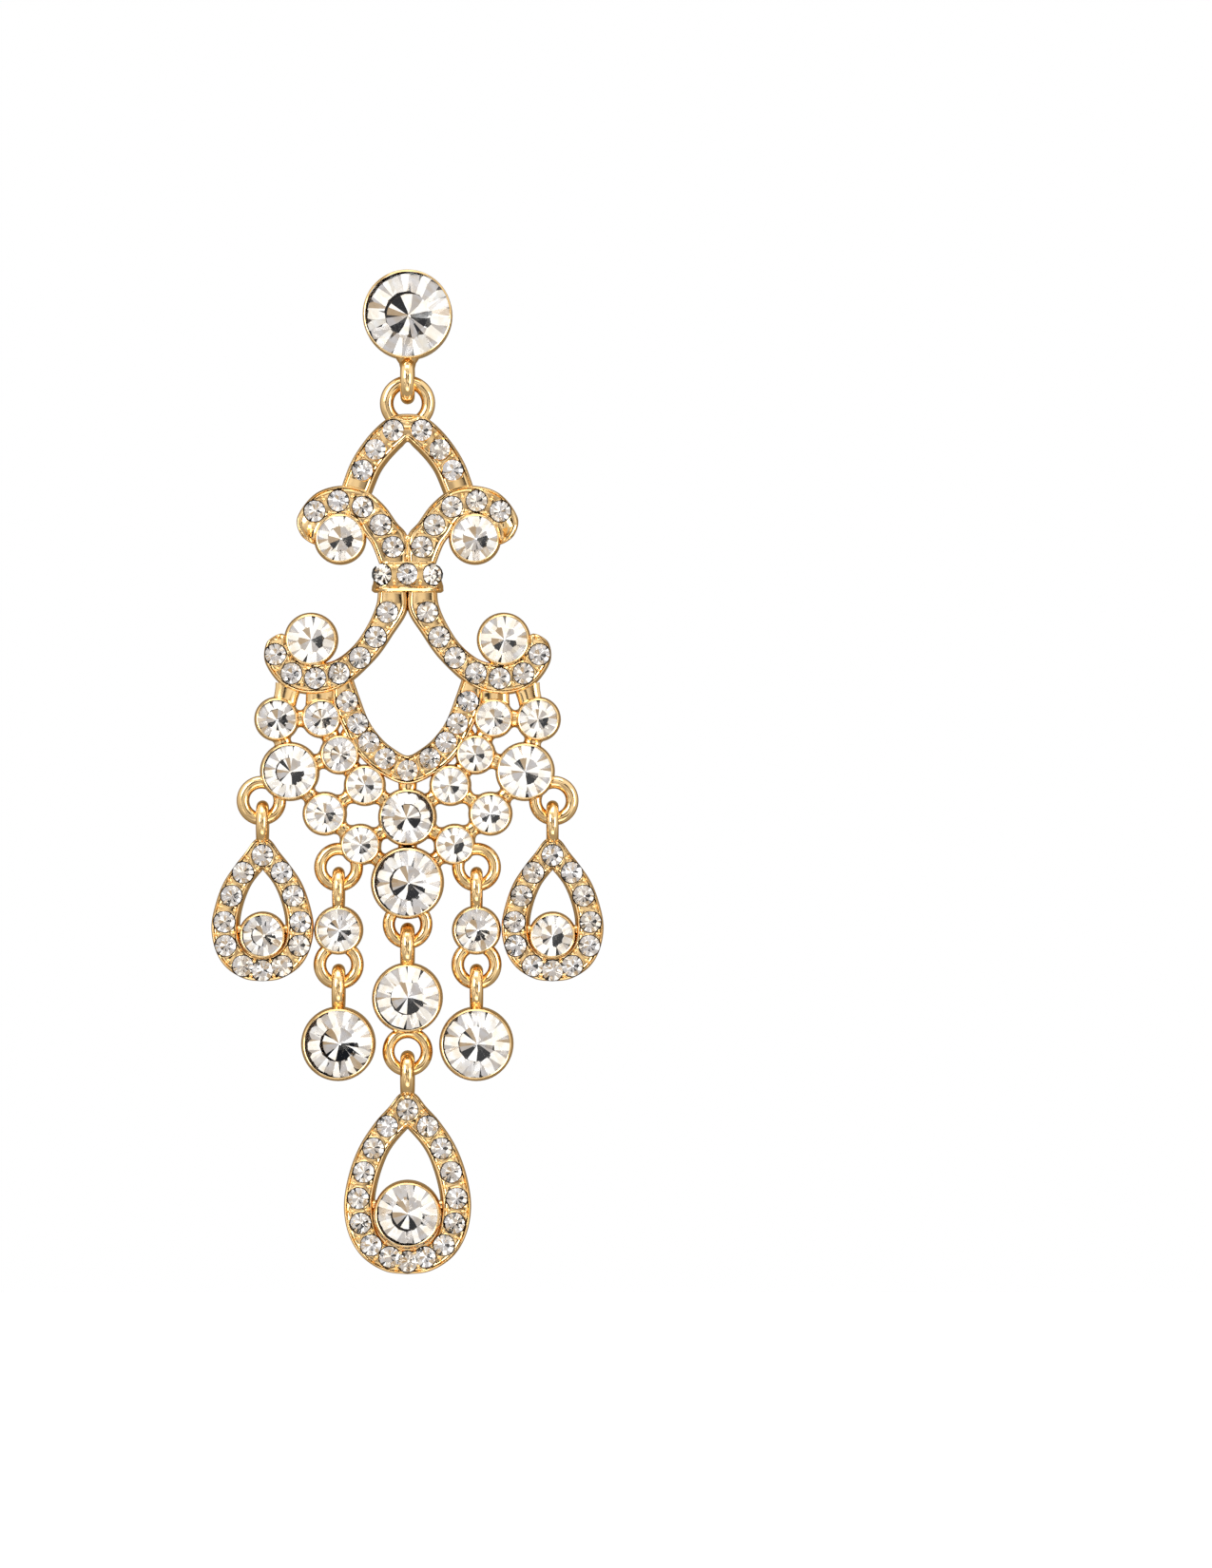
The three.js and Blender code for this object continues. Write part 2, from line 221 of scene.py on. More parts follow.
def cut_crystal():
    material = bpy.data.materials.new("cut_crystal_glass")
    material.use_nodes = True
    tree = material.node_tree
    shader = tree.nodes["Principled BSDF"]
    place = add(tree, "ShaderNodeTexCoord").outputs["Object"]
    haze = add(tree, "ShaderNodeTexNoise", inputs={
        "Vector": place, "Scale": 1 / (POLISH_HAZE * MM), "Detail": 1.0})
    rough = add(tree, "ShaderNodeMapRange", inputs={
        "Value": haze.outputs["Fac"], "From Min": 0.35, "From Max": 0.75,
        "To Min": 0.0, "To Max": 0.02})
    tree.links.new(rough.outputs["Result"], shader.inputs["Roughness"])
    shader.inputs["Base Color"].default_value = linear(CRYSTAL)
    shader.inputs["Transmission Weight"].default_value = 1.0
    shader.inputs["IOR"].default_value = CRYSTAL_IOR
    return material


def mirror_foil():
    material = bpy.data.materials.new("lacquered_mirror_foil")
    material.use_nodes = True
    tree = material.node_tree
    shader = tree.nodes["Principled BSDF"]
    place = add(tree, "ShaderNodeTexCoord").outputs["Object"]
    patch = add(tree, "ShaderNodeTexNoise", inputs={
        "Vector": place, "Scale": 1 / (LACQUER_PATCH * MM), "Detail": 0.0})
    warmth = add(tree, "ShaderNodeMapRange", inputs={
        "Value": patch.outputs["Fac"], "From Min": 0.45, "From Max": 0.62})
    tint = add(tree, "ShaderNodeMix", {"data_type": "RGBA"}, {
        "Factor": warmth.outputs["Result"], "A": linear(FOIL_CLEAR), "B": linear(FOIL_WARM)})
    tree.links.new(tint.outputs["Result"], shader.inputs["Base Color"])
    shader.inputs["Metallic"].default_value = 1.0
    shader.inputs["Roughness"].default_value = 0.02
    return material


crystal = cut_crystal()
foil = mirror_foil()
print(crystal.name, "and", foil.name)

# %% [markdown]
# ## Shells
# Each casting is a set of closed shells that run into one another as soldered parts do: turned
# cups, wires bent into rings, and swept bands. Ready-made cylinders and tori would need a
# different call for each shape, so every shell is a loft instead: a row of closed rings of
# points joined by four-sided faces. A ring that shrinks to a point closes a pole.

# %% Lofts and turned shapes
WELD = 1e-4  # mm within which two points of a shell are one
FINE_ROUND = 56  # sides of a turned shape or of a bent ring
WIRE_SIDES = 18  # sides of a wire's own section


def loft(rings, looped=False):
    """Rings of points, each (n, 3), as one closed shell: (points, faces)."""
    rings = np.asarray(rings, float)
    count, around = rings.shape[:2]
    last = count if looped else count - 1
    faces = []
    for i in range(last):
        a, b = i * around, ((i + 1) % count) * around
        for k in range(around):
            n = (k + 1) % around
            faces.append((a + k, a + n, b + n, b + k))
    if not looped:
        faces.append(tuple(range(around))[::-1])
        faces.append(tuple(range((count - 1) * around, count * around)))
    return welded(rings.reshape(-1, 3), faces)


def welded(points, faces):
    _, first, same = np.unique(
        np.round(points / WELD), axis=0, return_index=True, return_inverse=True)
    same = same.reshape(-1)
    kept = []
    for face in faces:
        corners = [int(same[i]) for i in face]
        corners = [c for i, c in enumerate(corners) if c != corners[i - 1]]
        if len(set(corners)) > 2:
            kept.append(tuple(corners))
    return points[first], kept


def circle(count):
    turn = np.arange(count) * 2 * math.pi / count
    return np.column_stack([np.cos(turn), np.sin(turn)])


def turned(profile, centre, count=FINE_ROUND):
    """A profile of (radius, depth) turned round an axis that points at the viewer."""
    around = circle(count)
    rings = []
    for radius, depth in profile:
        ring = np.empty((count, 3))
        ring[:, :2] = np.asarray(centre) + radius * around
        ring[:, 2] = depth
        rings.append(ring)
    return loft(rings)


# %% [markdown]
# ## From shells to a casting
# On the bench, parts are soldered together and the seats are drilled last. Here two Boolean
# modifiers do the same: one joins the shells, the next cuts the seats. A cut face takes the
# cutter's material, so the walls of the seats come out as dark glue with painted shade and all
# the rest as gold. The result is kept as a plain mesh, smooth but for its real edges.

# %% Casting
SHARP_EDGE = 40  # degrees between two faces that makes a real edge


def shell_object(shell, material):
    points, faces = shell
    mesh = bpy.data.meshes.new("shell")
    mesh.from_pydata(to_frame(points).tolist(), [], faces)
    mesh.materials.append(material)
    work = bmesh.new()
    work.from_mesh(mesh)
    bmesh.ops.recalc_face_normals(work, faces=work.faces)
    work.to_mesh(mesh)
    work.free()
    return bpy.data.objects.new("shell", mesh)


def group_of(name, shells, material):
    group = bpy.data.collections.new(name)
    for shell in shells:
        group.objects.link(shell_object(shell, material))
    return group


def casting(name, shells, seats):
    """Joins shells into one solid, cuts the seats, and keeps it smooth but for real edges."""
    base = shell_object(shells[0], gold)
    bpy.context.scene.collection.objects.link(base)
    # The seat cutters carry the dark glue material, which paints shade onto the walls of the seats.
    for operation, group in (("UNION", group_of("parts", shells[1:], gold)),
                             ("DIFFERENCE", group_of("seats", seats, glue_and_shade))):
        joint = base.modifiers.new(operation, "BOOLEAN")
        joint.operation = operation
        joint.solver = "MANIFOLD"
        joint.material_mode = "TRANSFER"
        joint.operand_type = "COLLECTION"
        joint.collection = group
    scene_now = bpy.context.evaluated_depsgraph_get()
    mesh = bpy.data.meshes.new_from_object(base.evaluated_get(scene_now))
    mesh.name = name
    for group in [joint.collection for joint in base.modifiers]:
        for part in list(group.objects):
            bpy.data.objects.remove(part)
        bpy.data.collections.remove(group)
    bpy.data.objects.remove(base)
    mesh.shade_smooth()
    mesh.set_sharp_from_angle(angle=math.radians(SHARP_EDGE))
    piece = bpy.data.objects.new(name, mesh)
    bpy.context.scene.collection.objects.link(piece)
    return piece


# %% [markdown]
# ## Cups and seats
# A round stone sits in a cup: a turned pot whose thin rim is pressed over the stone's edge. A
# half profile turned round the cup's axis gives the pot, and another gives the hole that is cut
# for the stone, with its undercut. The stones' places and sizes are read from the frame.

# %% Cups and seats
CUP_WALL = 0.13
SEAT_GAP = 0.02
CUP_FLARE = 0.12  # mm that a cup's body is wider than its rim
SMALL_SEAT_GAP = 0.09
CUP_BACK = -0.95
GIRDLE_DROP = 0.1  # mm from the stone's girdle up to the rim
PAVILION = 0.86  # depth below the girdle, in radii
STONE_GROWTH = 0.1  # mm that a glued stone is wider than the frame's loose one


def stone_seat(node):
    """Centre on the drawing, radius, and depth of the girdle of a stone in the frame."""
    low, high = (np.array(corner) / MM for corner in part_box(node))
    radius = (high[2] - low[2]) / 2
    centre = ((low[0] + high[0]) / 2, (low[2] + high[2]) / 2)
    culet = -high[1] - HANG_PLANE
    return centre, radius + STONE_GROWTH, culet + PAVILION * radius


def cup(node, back=CUP_BACK, flare=CUP_FLARE):
    centre, stone_radius, girdle = stone_seat(node)
    r = stone_radius + SEAT_GAP + CUP_WALL
    rim = girdle + GIRDLE_DROP
    profile = [
        (0, back), (r - 0.4, back), (r - 0.1, back + 0.03), (r + flare - 0.09, back + 0.12),
        (r + flare, back + 0.3), (r + flare, rim - 0.75), (r + 0.2 * flare, rim - 0.45),
        (r, rim - 0.3), (r - 0.01, rim - 0.1), (r - 0.04, rim), (r - 0.08, rim + 0.03),
        (r - 0.13, rim + 0.02), (stone_radius - 0.08, rim - 0.04), (0, rim - 0.04),
    ]
    return turned(profile, centre)


def cup_seat(node):
    """What is cut out of a cup for its stone: open above, undercut at the girdle, then a cone."""
    centre, r, girdle = stone_seat(node)
    profile = [
        (0, girdle + 3), (r - 0.03, girdle + 3), (r - 0.03, girdle + 0.05), (r + 0.015, girdle),
        (r + 0.015, girdle - GIRDLE * r - 0.03), (0.1, girdle - PAVILION * r - 0.07),
        (0, girdle - PAVILION * r - 0.08),
    ]
    return turned(profile, centre)


def small_seat(x, height, girdle, radius, lean=0.0):
    """The drilled seat of a small stone, a little wider than the stone and leaning with it."""
    wide = radius + SMALL_SEAT_GAP
    profile = [(0, girdle + 1.5), (wide, girdle + 1.5), (wide, girdle - 0.1),
               (0.08, girdle - PAVILION * radius - 0.08), (0, girdle - PAVILION * radius - 0.09)]
    points, faces = turned(profile, (x, height), count=28)
    aside, out = points[:, 0] - x, points[:, 2] - girdle
    points[:, 0] = x + aside * math.cos(lean) + out * math.sin(lean)
    points[:, 2] = girdle + out * math.cos(lean) - aside * math.sin(lean)
    return points, faces


# %% [markdown]
# ## Rings and loops
# Rings face the viewer and loops are seen edge-on. Both are round wire, bent and soldered shut,
# so one function sweeps a round section about a circle in either of the two planes. A torus
# primitive would do too, but it couldn't be joined to the other shells by the same loft.

# %% Rings and loops
def wire_ring(x, height, radius, wire, edge_on=False):
    """A closed ring of round wire, facing the viewer or seen edge-on."""
    section = circle(WIRE_SIDES)
    out = radius + wire * section[:, 0]
    aside = wire * section[:, 1]
    rings = []
    for c, s in circle(FINE_ROUND):
        ring = np.empty((WIRE_SIDES, 3))
        ring[:, 0] = x + (aside if edge_on else out * c)
        ring[:, 1] = height + out * s
        ring[:, 2] = out * c if edge_on else aside
        rings.append(ring)
    return loft(rings, looped=True)


def node_top(node):
    """Height of a node's top on the drawing."""
    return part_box(node)[1][2] / MM


# %% [markdown]
# ## Paved bands
# The frame's bands and the rims of the pear drops are flat metal with a thin raised edge on
# both sides and a sunk floor between, where the small stones are set close together. The edges
# are smooth curves through a few stations, and the section keeps the width of its rims while
# the band widens or narrows. An end that shows is rounded off and domed, with no floor.

# %% Curves and the band's section
BAND_BACK = -0.85
BAND_FRONT = 0.70
BAND_FLOOR = 0.42
STATION_STEPS = 9
DOME = 0.45  # mm that the smooth end of a curl rises in its middle

# Distance in from the band's edge, and depth, from the back round the side to the floor.
BAND_SIDE = [
    (0.45, BAND_BACK), (0.2, BAND_BACK + 0.04), (0.05, BAND_BACK + 0.18), (0.0, BAND_BACK + 0.42),
    (0.0, 0.3), (0.01, 0.5), (0.04, 0.62), (0.09, BAND_FRONT - 0.01), (0.14, BAND_FRONT),
    (0.19, 0.67), (0.23, 0.59), (0.27, 0.5), (0.34, BAND_FLOOR + 0.03), (0.5, BAND_FLOOR),
]


def through(points, steps=STATION_STEPS, looped=False):
    """A smooth curve through points (Catmull-Rom), steps to each stretch."""
    points = np.asarray(points, float)
    n = len(points)
    stretches = n if looped else n - 1
    curve = []
    for i in range(stretches):
        if looped:
            p0, p1, p2, p3 = (points[(i + k) % n] for k in (-1, 0, 1, 2))
        else:
            p0, p1, p2, p3 = (points[min(max(i + k, 0), n - 1)] for k in (-1, 0, 1, 2))
        for t in np.arange(steps) / steps:
            v0, v1 = (p2 - p0) / 2, (p3 - p1) / 2
            curve.append((2 * p1 - 2 * p2 + v0 + v1) * t**3
                         + (-3 * p1 + 3 * p2 - 2 * v0 - v1) * t**2 + v0 * t + p1)
    if not looped:
        curve.append(points[-1])
    return np.array(curve)


def along(curve):
    """Distance along a curve at each of its points."""
    steps = np.linalg.norm(np.diff(curve, axis=0), axis=1)
    return np.concatenate([[0], np.cumsum(steps)])


# %% [markdown]
# ## The sweep
# A curve with a bevel would keep one width and turn at its own will at a cusp. The band is
# swept by hand instead, between its two edge curves, so that it widens, narrows and ends
# exactly as drawn.

# %% The band
def band(outer, inner, looped=False, round_end=0.0, smooth_from=None, lowered=0.0, slope=0.0):
    """Sweeps the band's section between two edge curves; the inner side may slope inwards."""
    middle, half = (outer + inner) / 2, (outer - inner) / 2
    travelled = along(middle)
    total = travelled[-1]
    rings = []
    for i, (centre, across) in enumerate(zip(middle, half)):
        width = np.linalg.norm(across)
        unit = across / width
        squeeze = min(1.0, width / 0.6)
        swell = 1.0
        if round_end and total - travelled[i] < round_end:
            swell = math.sqrt(max(1 - (1 - (total - travelled[i]) / round_end) ** 2, 0.0))
        sunk = 1.0
        if smooth_from is not None:
            sunk = 1 - 0.75 * min(max((travelled[i] / total - smooth_from) / 0.08, 0), 1)
        side = []
        for inset, depth in BAND_SIDE:
            if depth > BAND_BACK + 0.5 and inset > 0.2:
                depth = BAND_FRONT - (BAND_FRONT - depth) * sunk
            depth += lowered if depth < 0 else -lowered
            side.append((width - inset * squeeze, depth))
        lean = [slope * min(max((d + 0.3) / 0.8, 0), 1) * squeeze for _, d in side]
        dome = [(lean[-1] / 2, side[-1][1] + DOME * (1 - sunk))]
        loop = side + dome + [(-u + more, d) for (u, d), more in zip(side[::-1], lean[::-1])]
        core = (BAND_FRONT + BAND_BACK) / 2
        ring = [(*(centre + unit * u * swell), core + (d - core) * max(swell, 0.02))
                for u, d in loop]
        rings.append(ring)
    return loft(rings, looped=looped)


def station_edges(stations, side):
    table = np.asarray(stations, float) * (side, 1, side, 1)
    curve = through(table)
    return curve[:, :2], curve[:, 2:]


# %% [markdown]
# ## The frame's outline
# The frame is a fleur: an arch, two petals that curl outwards, a collar, two arms that end in
# scrolls, and an ogee below them. The tables give the outer and the inner edge of the right
# half at a few stations; the left half mirrors it.

# %% Stations of the frame's bands: outer x and height, inner x and height
ARCH = [
    (0, -8.35, 0, -10.7), (1.2, -8.5, 0.45, -11.1), (2.3, -9.2, 1.0, -11.65),
    (3.6, -10.6, 1.7, -12.45), (4.8, -12.5, 2.35, -13.45), (5.65, -14.8, 3.1, -15.3),
]
CURL = [
    (0, -21.2, 2.3, -21.2), (0, -18.7, 3, -19.4), (0.9, -17.5, 3.72, -18.4),
    (2, -16, 4.2, -17.55), (3.6, -14.75, 4.75, -17.1), (5.7, -14.4, 5.7, -16.9),
    (7.8, -15.1, 6.75, -17.2), (9.25, -17, 7.4, -17.95), (9, -18.5, 7.6, -18.7),
    (7.9, -19.5, 7.4, -19.2),
]
ARM = [
    (2.5, -22.9, 0, -22.9), (2.6, -24.3, 0, -24.9), (3.3, -26, 1.2, -26.9),
    (4.5, -27.8, 2.75, -29.05), (6.2, -29.1, 5.3, -31.3), (8.1, -29.35, 7.9, -32),
    (9.5, -28.85, 10.4, -31.35), (10.1, -27.95, 11.95, -29.4), (10.15, -27.3, 11.95, -27.75),
    (10.1, -26.85, 11.1, -26.8),
]
OGEE = [
    (6.3, -31.3, 4.55, -30.7), (6.2, -32.9, 4.0, -32.3), (5.35, -35.0, 3.25, -34.2),
    (4.2, -37.0, 2.25, -35.6), (2.4, -38.6, 1.2, -36.5), (0, -39.55, 0, -37.1),
]
LOW_BAND = 0.07  # mm that the arch and the ogee lie below the curls and the arms
print("stations:", len(ARCH), len(CURL), len(ARM), len(OGEE))


def whole(half):
    """Stations of both halves as one run, from a half that starts or ends on the middle."""
    right = np.asarray(half, float)
    if right[0][0] != 0:
        right = right[::-1]
    left = right[:0:-1] * (-1, 1, -1, 1)
    return np.vstack([left, right])


# %% [markdown]
# ## The lattice
# Below the arms, the cups stand in a lattice. Where two cups nearly touch, a short strut with
# a waist joins them, and wider webs tie the upper cups and the ogee to the arms. The struts
# between cups aren't listed: the distance between two cups decides.

# %% Struts
STRUT_REACH = 0.9  # mm between two cups within which a strut joins them
STRUT_DEPTHS = (-0.7, 0.35)
TIES = [  # from x and height, to x and height, half width at the ends and at the waist
    (10.6, -33.6, 10.0, -31.2, 1.15, 1.0), (7.25, -33.95, 7.1, -31.0, 1.55, 1.4),
    (7.25, -33.95, 5.08, -32.55, 0.95, 0.85), (5.72, -37.0, 4.2, -34.4, 0.95, 0.85),
    (3.6, -39.6, 1.88, -37.35, 0.95, 0.85), (0, -42.3, 0, -38.35, 0.95, 0.75),
]


def strut(start, end, wide, waist, trim_start=0.0, trim_end=0.0):
    """A waisted bar; the trims shorten it to the walls of the cups that it joins."""
    start, end = np.asarray(start, float), np.asarray(end, float)
    way = (end - start) / np.linalg.norm(end - start)
    start, end = start + way * trim_start, end - way * trim_end
    way = end - start
    length = np.linalg.norm(way)
    way = way / length
    aside = np.array([-way[1], way[0]])
    low, high = STRUT_DEPTHS
    rings = []
    for t in np.linspace(0, 1, 15):
        half = waist + (wide - waist) * abs(2 * t - 1) ** 2
        centre = start + way * length * t
        rings.append([(*(centre + aside * half * c), (low + high) / 2 + (high - low) / 2 * s)
                      for c, s in circle(14)])
    return loft(rings)


# %% [markdown]
# ## The collar
# The collar's section is a table from back to front, carried from left to right on an arc. Its
# front bends back towards both sides, and its upper corners fall away, as on a bent strap.

# %% Collar
def collar():
    half, top, foot, lip = 3.02, -20.75, -23.4, -22.85
    section = [
        (-1.1, top - 0.1), (-1.15, -22.0), (-1.1, foot + 0.1), (-0.9, foot), (1.0, foot),
        (1.45, foot + 0.03), (1.68, foot + 0.14), (1.74, foot + 0.28), (1.62, foot + 0.42),
        (1.36, foot + 0.5), (1.18, foot + 0.56), (1.14, -22.3), (1.14, -21.5),
        (1.2, top - 0.3), (1.32, top - 0.18), (1.28, top - 0.06), (1.1, top), (-0.9, top),
    ]
    rings = []
    for t in np.linspace(-1, 1, 61):
        x = half * math.sin(t * math.pi / 2)
        fall = max(abs(x) - 1.5, 0) / (half - 1.5)
        bend = 1.5 * (1 - math.sqrt(max(1 - fall**2, 0)))
        ring = []
        for depth, height in section:
            above = min(max((height - lip) / 0.3, 0), 1)
            high = max((height + 21.6) / (top + 21.6), 0)
            across = x * (1 - 0.09 * above * min(fall * 2, 1))
            fallen = height - 0.6 * high * max(fall - 0.55, 0) / 0.45
            if above == 0 and fall > 0.8:
                fallen += (lip - 0.3 - height) * 0.7 * ((fall - 0.8) / 0.2) ** 2
            ring.append((across, fallen, depth - bend * (depth > 0)))
        rings.append(ring)
    return loft(rings)


# %% [markdown]
# ## Prong beads
# Between two neighbouring small stones, the setter raises beads of metal from the floor with a
# graver and presses them over the stones' edges. A Geometry Nodes tree puts one bead on every
# point of a cloud; the cloud carries each bead's radius.

# %% Scatter tree
def points_object(name, points, **values):
    """A cloud of points in the frame, with a float or a vector on each."""
    mesh = bpy.data.meshes.new(name)
    mesh.from_pydata(to_frame(points).tolist(), [], [])
    for key, column in values.items():
        column = np.asarray(column, float)
        kind = "FLOAT" if column.ndim == 1 else "FLOAT_VECTOR"
        layer = mesh.attributes.new(key, kind, "POINT")
        layer.data.foreach_set("value" if column.ndim == 1 else "vector", column.ravel())
    cloud = bpy.data.objects.new(name, mesh)
    bpy.context.scene.collection.objects.link(cloud)
    return cloud


def scatter_tree():
    """Puts a pattern object on every point, sized and turned by the point's own values."""
    tree = bpy.data.node_groups.new("set_on_points", "GeometryNodeTree")
    face = tree.interface
    face.new_socket("Points", in_out="INPUT", socket_type="NodeSocketGeometry")
    face.new_socket("Pattern", in_out="INPUT", socket_type="NodeSocketObject")
    face.new_socket("Front", in_out="INPUT", socket_type="NodeSocketMaterial")
    face.new_socket("Back", in_out="INPUT", socket_type="NodeSocketMaterial")
    face.new_socket("Result", in_out="OUTPUT", socket_type="NodeSocketGeometry")
    given = add(tree, "NodeGroupInput").outputs
    size = add(tree, "GeometryNodeInputNamedAttribute", {"data_type": "FLOAT"}, {"Name": "size"})
    turn = add(tree, "GeometryNodeInputNamedAttribute", {"data_type": "FLOAT_VECTOR"},
               {"Name": "turn"})
    pattern = add(tree, "GeometryNodeObjectInfo", inputs={"Object": given["Pattern"]})
    euler = add(tree, "FunctionNodeEulerToRotation", inputs={"Euler": turn.outputs["Attribute"]})
    placed = add(tree, "GeometryNodeInstanceOnPoints", inputs={
        "Points": given["Points"], "Instance": pattern.outputs["Geometry"],
        "Rotation": euler.outputs["Rotation"], "Scale": size.outputs["Attribute"]})
    real = add(tree, "GeometryNodeRealizeInstances", inputs={
        "Geometry": placed.outputs["Instances"]})
    front = add(tree, "GeometryNodeSetMaterial", inputs={
        "Geometry": real.outputs["Geometry"], "Material": given["Front"]})
    mirror = add(tree, "GeometryNodeInputNamedAttribute", {"data_type": "BOOLEAN"},
                 {"Name": "foiled"})
    back = add(tree, "GeometryNodeSetMaterial", inputs={
        "Geometry": front.outputs["Geometry"], "Selection": mirror.outputs["Attribute"],
        "Material": given["Back"]})
    result = add(tree, "NodeGroupOutput")
    tree.links.new(back.outputs["Geometry"], result.inputs["Result"])
    return tree


set_on_points = scatter_tree()


def scattered(name, cloud, pattern, front, back):
    """Runs the tree on a cloud and keeps the result as one plain mesh."""
    sockets = {s.name: s.identifier for s in set_on_points.interface.items_tree
               if s.item_type == "SOCKET" and s.in_out == "INPUT"}
    modifier = cloud.modifiers.new("set", "NODES")
    modifier.node_group = set_on_points
    modifier[sockets["Pattern"]] = pattern
    modifier[sockets["Front"]] = front
    modifier[sockets["Back"]] = back
    cloud.update_tag()
    scene_now = bpy.context.evaluated_depsgraph_get()
    mesh = bpy.data.meshes.new_from_object(cloud.evaluated_get(scene_now))
    mesh.name = name
    cloud.modifiers.remove(modifier)
    bpy.data.objects.remove(cloud)
    piece = bpy.data.objects.new(name, mesh)
    bpy.context.scene.collection.objects.link(piece)
    return piece


# %% [markdown]
# ## Cut stones
# A round machine-cut crystal has a flat table, a crown of long trapezoid facets, and a pavilion
# of wedges that meet at the point. It is built once at a radius of 1 with flat faces; a crystal
# is turned at random in its cup, as nobody lines up the facets when gluing.

# %% Stone pattern
TABLE = 0.52
CROWN = 0.30
GIRDLE = 0.08


def cut_stone(name, sides):
    """A stone of radius 1 whose girdle lies at 0 and whose table looks along -Y."""
    step = 2 * math.pi / sides
    scallop = 1 - math.cos(step / 2)  # how far a flat facet falls short of the round girdle
    crown_dip = scallop * CROWN / (1 - TABLE)
    wedge_rise = scallop * PAVILION

    def at(turn, radius, depth):
        return (radius * math.sin(turn) * MM, -depth * MM, radius * math.cos(turn) * MM)

    points = [at(k * step, TABLE, CROWN) for k in range(sides)]
    points += [at(k * step / 2, 1.0, -crown_dip * (k % 2)) for k in range(2 * sides)]
    points += [at(k * step / 2, 1.0, wedge_rise * ((k + 1) % 2) - GIRDLE)
               for k in range(2 * sides)]
    points.append(at(0, 0, -PAVILION))
    edge, under, point = sides, 3 * sides, 5 * sides
    around = 2 * sides
    faces, foiled = [tuple(range(sides))], [False]
    for k in range(sides):
        a, b, c = 2 * k, 2 * k + 1, (2 * k + 2) % around
        d = (2 * k + 3) % around
        faces += [(k, edge + a, edge + b, edge + c, (k + 1) % sides)]
        faces += [(edge + a, under + a, under + b, edge + b)]
        faces += [(edge + b, under + b, under + c, edge + c)]
        faces += [(under + b, point, under + d, under + c)]
        foiled += [False, True, True, True]
    mesh = bpy.data.meshes.new(name)
    mesh.from_pydata(points, [], faces)
    layer = mesh.attributes.new("foiled", "BOOLEAN", "FACE")
    layer.data.foreach_set("value", foiled)
    work = bmesh.new()
    work.from_mesh(mesh)
    bmesh.ops.recalc_face_normals(work, faces=work.faces)
    work.to_mesh(mesh)
    work.free()
    pattern = bpy.data.objects.new(name, mesh)
    print(name, len(mesh.polygons), "facets")
    return pattern


large_cut = cut_stone("large_cut", 12)
medium_cut = cut_stone("medium_cut", 10)
small_cut = cut_stone("small_cut", 8)
chance = np.random.default_rng(26)


def random_turns(count, lean):
    """Turned freely about the stone's axis, and leaning a little either way, in radians."""
    turns = chance.normal(0, lean, (count, 3))
    turns[:, 1] = chance.uniform(0, 2 * math.pi, count)
    return turns


# %% [markdown]
# The large stones replace the plain stones of the frame one for one.

# %% Large stones
STONE_LEAN = math.radians(1.5)
FINE_CUT = 2.0  # mm of radius above which a stone has more facets
DROP = "drop"
stone_nodes = sorted(n for n in frame["nodes"] if "stone" in n)
for node in stone_nodes:
    centre, radius, girdle = stone_seat(node)
    cloud = points_object("place", [(*centre, girdle)], size=[radius],
                          turn=random_turns(1, STONE_LEAN))
    cut = large_cut if radius > FINE_CUT else medium_cut
    stone = scattered(f"crystal_{node}", cloud, cut, crystal, foil)
    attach(stone, "stud" if node.startswith("stud") else DROP)
    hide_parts(node)
print(len(stone_nodes), "large stones")

# %% [markdown]
# ## Small stones
# Their places follow the bands. Each list is the right half of one run, and a run that starts
# or ends on the middle has one stone there.

# %% Places of the small stones: x and height
PAVE_RADIUS = 0.88
PAVE_GIRDLE = 0.54
COLLAR_GIRDLE = 1.30
PAVE_RUNS = {
    "arch": [(1.2, -9.75), (2.7, -11.35), (3.8, -13.1)],
    "curl": [(7.8, -16.55), (5.82, -15.68), (3.75, -16.18), (2.27, -17.7), (1.22, -19.55)],
    "arm": [(1.68, -25.05), (2.67, -27.13), (4.0, -28.87), (5.76, -30.17), (7.75, -30.6),
            (9.76, -30.2), (11.1, -28.6)],
    "ogee": [(5.08, -32.55), (4.2, -34.4), (3.25, -36.0), (1.88, -37.35), (0, -38.35)],
}
COLLAR_STONES = [(-2.18, -21.88), (0, -21.85), (2.18, -21.88)]
COLLAR_LEAN = math.radians(24)
SIDE_PAVE = [(0, -45.5), (1.62, -46.95), (2.6, -48.9), (3.2, -51.1), (3.1, -53.1),
             (1.65, -54.8), (0, -55.2)]
CENTRE_PAVE = [(0, -66.9), (1.7, -68.3), (2.85, -70.15), (3.67, -72.15), (4.14, -74.35),
               (3.95, -76.45), (3.07, -78.3), (1.5, -79.3), (0, -79.68)]


print(sum(map(len, PAVE_RUNS.values())), "places on the right half of the frame")

# %% [markdown]
# ## Setting the small stones
# One function paves a run: it places the stones and the beads as clouds of points, lets the
# tree set them, and returns the seats that the casting still needs. Random yaw and a slight
# lean keep the facets from flashing all at once.

# %% Paving
PRONG_PAIR = [(0.6, 0.17), (0.82, 0.1105)]  # distance out from the run, and the bead's radius
BEAD_SUNK = 0.04


def both_sides(run):
    """Runs on the right and on the left; on a closed rim they are one run."""
    right = np.asarray(run, float)
    return [right, right * (-1, 1)]


def beads_between(run, depth):
    """Two pairs of prong beads in each gap of a run of stones."""
    beads, sizes = [], []
    for a, b in zip(run[:-1], run[1:]):
        way = (b - a) / np.linalg.norm(b - a)
        aside = np.array([-way[1], way[0]])
        for side in (-1, 1):
            for out, size in PRONG_PAIR:
                beads.append((*((a + b) / 2 + aside * side * out), depth - BEAD_SUNK))
                sizes.append(size)
    return beads, sizes


